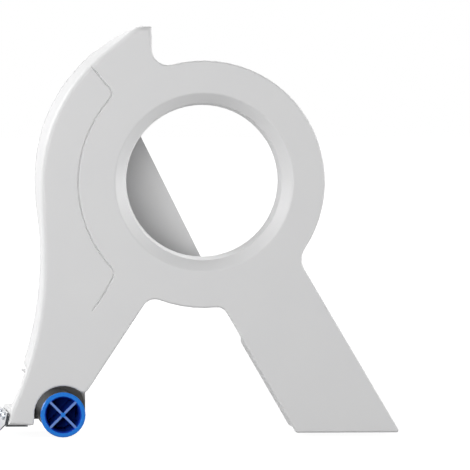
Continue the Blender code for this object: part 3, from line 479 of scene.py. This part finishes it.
frontCase = {
    "lipRadius": 40.4 * mm,
    "lipRounding": 0.55 * mm,
    "lipSegments": 3,
    "mouthRadius": 35.6 * mm,
    "mouthDepth": 4.0 * mm,
    "mouthRounding": 0.12 * mm,
    "mouthSegments": 2,
    "grooveReach": 46 * mm,
    "grooveSlope": math.radians(38),
    "grooveRounding": 0.34 * mm,
    "grooveSegments": 2,
}


def grooveLips(shape, face):
    # the styling groove's two long edges, which lie on the face well outside the bore
    lips = []
    for edge in shape.edges:
        middle = (edge.verts[0].co + edge.verts[1].co) / 2
        reach = math.hypot(middle.x - ringAxis.x, middle.z - ringAxis.z)
        if atLevel(edge, face) and edge.is_manifold and reach > frontCase["grooveReach"]:
            if edge.calc_face_angle(0.0) > frontCase["grooveSlope"]:
                lips.append(edge)
    return lips


def roundFrontCase(shape):
    # small roundings of the bore's lip and mouth, and of the groove's lips, of which the one that faces
    # the light shows as a pale line
    face = ringAxis.y
    lip = ringEdges(shape, ringAxis, frontCase["lipRadius"], face)
    softenEdges(shape, lip, frontCase["lipRounding"], frontCase["lipSegments"])
    mouth = ringEdges(shape, ringAxis, frontCase["mouthRadius"], face + frontCase["mouthDepth"])
    softenEdges(shape, mouth, frontCase["mouthRounding"], frontCase["mouthSegments"])
    groove = grooveLips(shape, face)
    softenEdges(shape, groove, frontCase["grooveRounding"], frontCase["grooveSegments"])
    print("front case: rounded", len(lip), "lip,", len(mouth), "mouth and", len(groove), "groove edges")


fromNode(
    "front_shell",
    "frontCase",
    "root",
    materials["white"],
    meshSettings["caseSharp"],
    roundFrontCase,
)


# Rear case

rearCase = {
    "panelInside": 25.4 * mm,
    "panelSlack": 0.02 * mm,
    "slantTop": Vector((-41.57, 0, 171.5)) * mm,
    "slantFoot": Vector((9.54, 0, 68.99)) * mm,
    "slantSlack": 1.2 * mm,
    "slantRounding": 0.75 * mm,
    "slantSegments": 3,
    "sharpEdge": 0.5,  # radians between the two faces
    "alongShare": 0.99,
}


def roundPanel(shape):
    # the back panel's slanted edge is rounded towards the front too, where it shows through the bore
    way = (rearCase["slantFoot"] - rearCase["slantTop"]).normalized()

    def near(vert):
        if abs(vert.co.y - rearCase["panelInside"]) > rearCase["panelSlack"]:
            return False
        away = Vector((vert.co.x, 0, vert.co.z)) - rearCase["slantTop"]
        return (away - way * away.dot(way)).length < rearCase["slantSlack"]

    slant = []
    for edge in shape.edges:
        if not edge.is_manifold or edge.calc_face_angle(0.0) <= rearCase["sharpEdge"]:
            continue
        run = (edge.verts[1].co - edge.verts[0].co).normalized()
        if near(edge.verts[0]) and near(edge.verts[1]) and abs(run.dot(way)) > rearCase["alongShare"]:
            slant.append(edge)
    softenEdges(shape, slant, rearCase["slantRounding"], rearCase["slantSegments"])
    print("rear case: rounded", len(slant), "edges of the slanted rim")


fromNode(
    "rear_shell",
    "rearCase",
    "root",
    materials["white"],
    meshSettings["caseSharp"],
    roundPanel,
)


# Blade and sole

stripEnds = {"slack": 0.05 * mm, "facing": 0.95}


def darkenEnds(piece, material):
    # the strip's two cut ends take the sheared finish
    ys = [vert.co.y for vert in piece.data.vertices]
    piece.data.materials.append(material)
    for face in piece.data.polygons:
        toEnd = min(abs(face.center.y - min(ys)), abs(face.center.y - max(ys)))
        if toEnd < stripEnds["slack"] and abs(face.normal.y) > stripEnds["facing"]:
            face.material_index = 1


stripSharp = meshSettings["stripSharp"]
blade = fromNode("cutter_blade", "cutterBlade", "root", materials["blade"], stripSharp)
sole = fromNode("sole_plate", "solePlate", "root", materials["sole"], stripSharp)
for strip in (blade, sole):
    darkenEnds(strip, materials["sheared"])


# Axle and its fittings

fromNode("roller_axle", "rollerAxle", "roller_group", materials["axle"])
fromNode("axle_washer", "axleWasher", "roller_group", materials["axle"])
fromNode("axle_clip", "axleClip", "roller_group", materials["axle"])
fromNode("axle_bush", "axleBush", "root", materials["acetal"])


# Press roller

pressRoller = {
    "front": -28.0 * mm,
    "webFront": -27.7 * mm,
    "sharpEdge": 1.0,  # radians between the two faces
    "rounding": 0.22 * mm,
    "segments": 2,
    "pocketReach": 8.7 * mm,
    "pocketStart": -27.2 * mm,
    "webReach": 8.3 * mm,
    "webStep": 0.1 * mm,
    "hubReach": 1.3 * mm,
}


def softenRoller(shape):
    # moulded edges of the flange's pockets and of the cross web
    soft = []
    for edge in shape.edges:
        if not edge.is_manifold or edge.calc_face_angle(0.0) < pressRoller["sharpEdge"]:
            continue
        if atLevel(edge, pressRoller["front"]) or atLevel(edge, pressRoller["webFront"]):
            soft.append(edge)
    softenEdges(shape, soft, pressRoller["rounding"], pressRoller["segments"])
    print("roller: rounded", len(soft), "front edges")


def paintRollerShadeAndHighlight(piece):
    # painted shade: a darker, dull blue deep in the pockets; painted highlight: a paler blue on the web
    # between hub and rim
    piece.data.materials.append(materials["pocket"])
    piece.data.materials.append(materials["webHighlight"])
    webStart = pressRoller["front"] + pressRoller["webStep"]
    for face in piece.data.polygons:
        radius = math.hypot(face.center.x - rollerAxis.x, face.center.z - rollerAxis.z)
        onWeb = pressRoller["hubReach"] < radius < pressRoller["webReach"]
        if face.center.y > pressRoller["pocketStart"] and radius < pressRoller["pocketReach"]:
            face.material_index = 1
        elif face.center.y > webStart and onWeb:
            face.material_index = 2


presser = fromNode(
    "roller",
    "pressRoller",
    "roller_group",
    materials["blue"],
    meshSettings["turnedSharp"],
    softenRoller,
)
paintRollerShadeAndHighlight(presser)
fromNode("roller_sleeve", "rollerSleeve", "roller_group", materials["rubber"])


# Screws

screwLook = {
    "case": {
        "count": 6,
        "outward": Vector((0, 1, 0)),
        "arm": 3.0 * mm,
        "width": 0.8 * mm,
        "depth": 0.75 * mm,
        "rim": 0.3 * mm,
    },
    "blade": {
        "count": 2,
        "outward": Vector((-0.9781, 0, 0.2079)),
        "arm": 1.6 * mm,
        "width": 0.48 * mm,
        "depth": 0.4 * mm,
        "rim": 0.08 * mm,
    },
}
crossCut = {
    "facing": 0.99,
    "square": 0.999,
    "rimSegments": 2,
    "planeSlack": 0.001 * mm,
    "floorShare": 0.7,
}


def topFaces(shape, centre, outward):
    # the faces of a screw head's flat top
    shape.normal_update()
    found = []
    for face in shape.faces:
        away = face.calc_center_median() - centre
        level = abs(away.dot(outward)) < meshSettings["levelSlack"]
        if level and face.normal.dot(outward) > crossCut["square"]:
            found.append(face)
    return found


def sliceTop(shape, centre, outward, side, offset):
    # cut the flat top along one line
    geom = set()
    for face in topFaces(shape, centre, outward):
        geom.add(face)
        geom.update(face.edges)
        geom.update(face.verts)
    bmesh.ops.bisect_plane(
        shape,
        geom=list(geom),
        plane_co=centre + side * offset,
        plane_no=side,
        dist=crossCut["planeSlack"],
    )


def cutCross(look):
    # a rounded rim and a tapered cross recess in the top of a screw's head
    outward = look["outward"].normalized()
    across = Vector((0, 0, 1)).cross(outward).normalized()
    upward = outward.cross(across)
    halfArm = look["arm"] / 2
    halfWidth = look["width"] / 2

    def cut(shape):
        facing = [face for face in shape.faces if face.normal.dot(outward) > crossCut["facing"]]
        top = max(facing, key=lambda face: face.calc_center_median().dot(outward))
        centre = top.calc_center_median()
        softenEdges(shape, list(top.edges), look["rim"], crossCut["rimSegments"])
        for side in (across, upward):
            for offset in (-halfArm, -halfWidth, halfWidth, halfArm):
                sliceTop(shape, centre, outward, side, offset)
        cross = []
        for face in topFaces(shape, centre, outward):
            away = face.calc_center_median() - centre
            reach = sorted((abs(away.dot(across)), abs(away.dot(upward))))
            if reach[0] < halfWidth and reach[1] < halfArm:
                cross.append(face)
        made = bmesh.ops.extrude_face_region(shape, geom=cross)
        for vert in made["geom"]:
            if isinstance(vert, bmesh.types.BMVert):
                drawnIn = (vert.co - centre) * crossCut["floorShare"]
                vert.co = centre + drawnIn - outward * look["depth"]
        bmesh.ops.delete(shape, geom=cross, context="FACES")
        bmesh.ops.recalc_face_normals(shape, faces=shape.faces)
        loose = sum(1 for edge in shape.edges if not edge.is_manifold)
        print("screw: cross of", len(cross), "faces,", loose, "loose edges")

    return cut


for kind, look in screwLook.items():
    for index in range(1, look["count"] + 1):
        fromNode(
            f"{kind}_screw_{index}",
            f"{kind}Screw{index}",
            "root",
            materials["zinc"],
            meshSettings["turnedSharp"],
            cutCross(look),
        )
print("pieces made")


# Stage, light and camera

stageSettings = {
    "floorSize": 6.0,
    "floorColour": "#E8E8E8",
    "bounceColour": "#868686",
    "whiteLevel": 1.19,
    "nearFloor": 0.35,
    "farFloor": 0.90,
    "nearShare": 0.80,
    "farShare": 1.0,
}


def backgroundRays(tree):
    # 1 for the rays that show the background, from the camera, in gloss and through glass
    path = addNode(tree, "ShaderNodeLightPath")
    seen = path.outputs["Is Camera Ray"]
    for other in ("Is Glossy Ray", "Is Transmission Ray"):
        seen = addNode(
            tree,
            "ShaderNodeMath",
            {"operation": "MAXIMUM"},
            {0: seen, 1: path.outputs[other]},
        ).outputs[0]
    return seen


def makeFloor():
    shape = bmesh.new()
    bmesh.ops.create_grid(shape, x_segments=1, y_segments=1, size=stageSettings["floorSize"] / 2)
    floor = newPiece("floor", shape)
    made = bpy.data.materials.new("paleFloor")
    made.use_nodes = True
    tree = made.node_tree
    tree.nodes.clear()
    background = backgroundRays(tree)
    # the bounce comes off a greyer table than the one that the camera sees
    tone = addNode(
        tree,
        "ShaderNodeMix",
        {
            "data_type": "RGBA",
            6: colour(stageSettings["bounceColour"]),
            7: colour(stageSettings["floorColour"]),
        },
        {0: background},
    )
    paint = addNode(tree, "ShaderNodeBsdfDiffuse", links={"Color": tone.outputs[2]})
    plain = addNode(tree, "ShaderNodeEmission", {"Strength": stageSettings["whiteLevel"]})
    # near the object part of the floor is lit paint, which holds its shadow, and further out it is plain
    place = addNode(tree, "ShaderNodeTexCoord").outputs["Object"]
    away = addNode(tree, "ShaderNodeVectorMath", {"operation": "LENGTH"}, {0: place})
    reach = addNode(
        tree,
        "ShaderNodeMapRange",
        {
            "From Min": stageSettings["nearFloor"],
            "From Max": stageSettings["farFloor"],
            "To Min": stageSettings["nearShare"],
            "To Max": stageSettings["farShare"],
        },
        {"Value": away.outputs["Value"]},
    )
    share = addNode(
        tree,
        "ShaderNodeMath",
        {"operation": "MULTIPLY"},
        {0: background, 1: reach.outputs["Result"]},
    )
    mixed = addNode(
        tree,
        "ShaderNodeMixShader",
        links={0: share.outputs[0], 1: paint.outputs[0], 2: plain.outputs[0]},
    )
    addNode(tree, "ShaderNodeOutputMaterial", links={"Surface": mixed.outputs[0]})
    floor.data.materials.append(made)


# the world's light by how far back a ray points, which is Y of its direction, in gloss and on matt faces
studioSettings = {
    "gloss": {"From Min": -0.45, "From Max": 0.0, "To Min": 0.12, "To Max": 1.0},
    "spill": {"From Min": 0.0, "From Max": 0.35, "To Min": 0.02, "To Max": 0.50},
}


def makeWorld():
    world = bpy.data.worlds.new("studio")
    scene.world = world
    world.use_nodes = True
    tree = world.node_tree
    tree.nodes.clear()
    # white backdrop for the camera and in gloss, which also lights the sides from behind, and a studio
    # that is dark in front
    path = addNode(tree, "ShaderNodeLightPath")
    way = addNode(tree, "ShaderNodeTexCoord").outputs["Generated"]
    parts = addNode(tree, "ShaderNodeSeparateXYZ", links={0: way})
    back = {"Value": parts.outputs["Y"]}
    gloss = addNode(tree, "ShaderNodeMapRange", studioSettings["gloss"], back)
    spill = addNode(tree, "ShaderNodeMapRange", studioSettings["spill"], back)
    light = addNode(
        tree,
        "ShaderNodeMix",
        {"data_type": "FLOAT"},
        {0: path.outputs["Is Glossy Ray"], 2: spill.outputs["Result"], 3: gloss.outputs["Result"]},
    )
    level = addNode(
        tree,
        "ShaderNodeMath",
        {"operation": "MAXIMUM"},
        {0: light.outputs[0], 1: backgroundRays(tree)},
    )
    sky = addNode(
        tree,
        "ShaderNodeBackground",
        {"Color": (1.0, 1.0, 1.0, 1.0)},
        {"Strength": level.outputs[0]},
    )
    addNode(tree, "ShaderNodeOutputWorld", links={"Surface": sky.outputs[0]})


def wayTo(azimuth, rise):
    # direction from the object, with azimuth 0 in front and positive to the right, in degrees
    turn = math.radians(azimuth)
    lift = math.radians(rise)
    return Vector((math.sin(turn) * math.cos(lift), -math.cos(turn) * math.cos(lift), math.sin(lift)))


def aimed(made, way):
    # point a lamp or the camera back along the way that it stands
    made.rotation_mode = "QUATERNION"
    made.rotation_quaternion = (-way).to_track_quat("-Z", "Y")


lampAim = Vector((0.0, 0.0, 0.09))
lamps = {
    "frontBox": {"azimuth": -18, "rise": 4, "distance": 1.3, "size": (0.5, 0.28), "watts": 8.4},
    "leftBox": {"azimuth": -80, "rise": 18, "distance": 1.3, "size": (0.3, 0.6), "watts": 8.2},
    "rightBox": {"azimuth": 80, "rise": 3, "distance": 1.3, "size": (0.3, 0.2), "watts": 4.9},
    "rightFill": {"azimuth": 50, "rise": 12, "distance": 1.3, "size": (0.4, 0.3), "watts": 2.9},
    "leftRim": {"azimuth": -118, "rise": 26, "distance": 1.3, "size": (0.6, 0.6), "watts": 6.4},
    "rightRim": {"azimuth": 118, "rise": 20, "distance": 1.3, "size": (0.6, 0.6), "watts": 6.9},
    "rearBox": {"azimuth": 170, "rise": 25, "distance": 1.6, "size": (0.9, 0.9), "watts": 4.5},
}


def makeLamps():
    for name, lamp in lamps.items():
        light = bpy.data.lights.new(name, "AREA")
        light.shape = "RECTANGLE"
        light.size, light.size_y = lamp["size"]
        light.energy = lamp["watts"]
        made = bpy.data.objects.new(name, light)
        scene.collection.objects.link(made)
        way = wayTo(lamp["azimuth"], lamp["rise"])
        made.location = lampAim + way * lamp["distance"]
        aimed(made, way)


cameraSettings = {
    "azimuth": -4.2,
    "elevation": 2.85,
    "aim": Vector((0.01628, -0.028, 0.09153)),
    "halfAngle": math.radians(0.72),
    "pictureWidth": 212.8 * mm,
    "sensor": 36.0,
    "nearest": 0.1,
    "furthest": 100.0,
}


def makeCamera():
    lens = bpy.data.cameras.new("camera")
    lens.sensor_width = cameraSettings["sensor"]
    lens.lens = lens.sensor_width / 2 / math.tan(cameraSettings["halfAngle"])
    lens.clip_start = cameraSettings["nearest"]
    lens.clip_end = cameraSettings["furthest"]
    camera = bpy.data.objects.new("camera", lens)
    scene.collection.objects.link(camera)
    way = wayTo(cameraSettings["azimuth"], cameraSettings["elevation"])
    distance = cameraSettings["pictureWidth"] / 2 / math.tan(cameraSettings["halfAngle"])
    camera.location = cameraSettings["aim"] + way * distance
    aimed(camera, way)
    scene.camera = camera


makeFloor()
makeWorld()
makeLamps()
makeCamera()
print("stage, light and camera made")
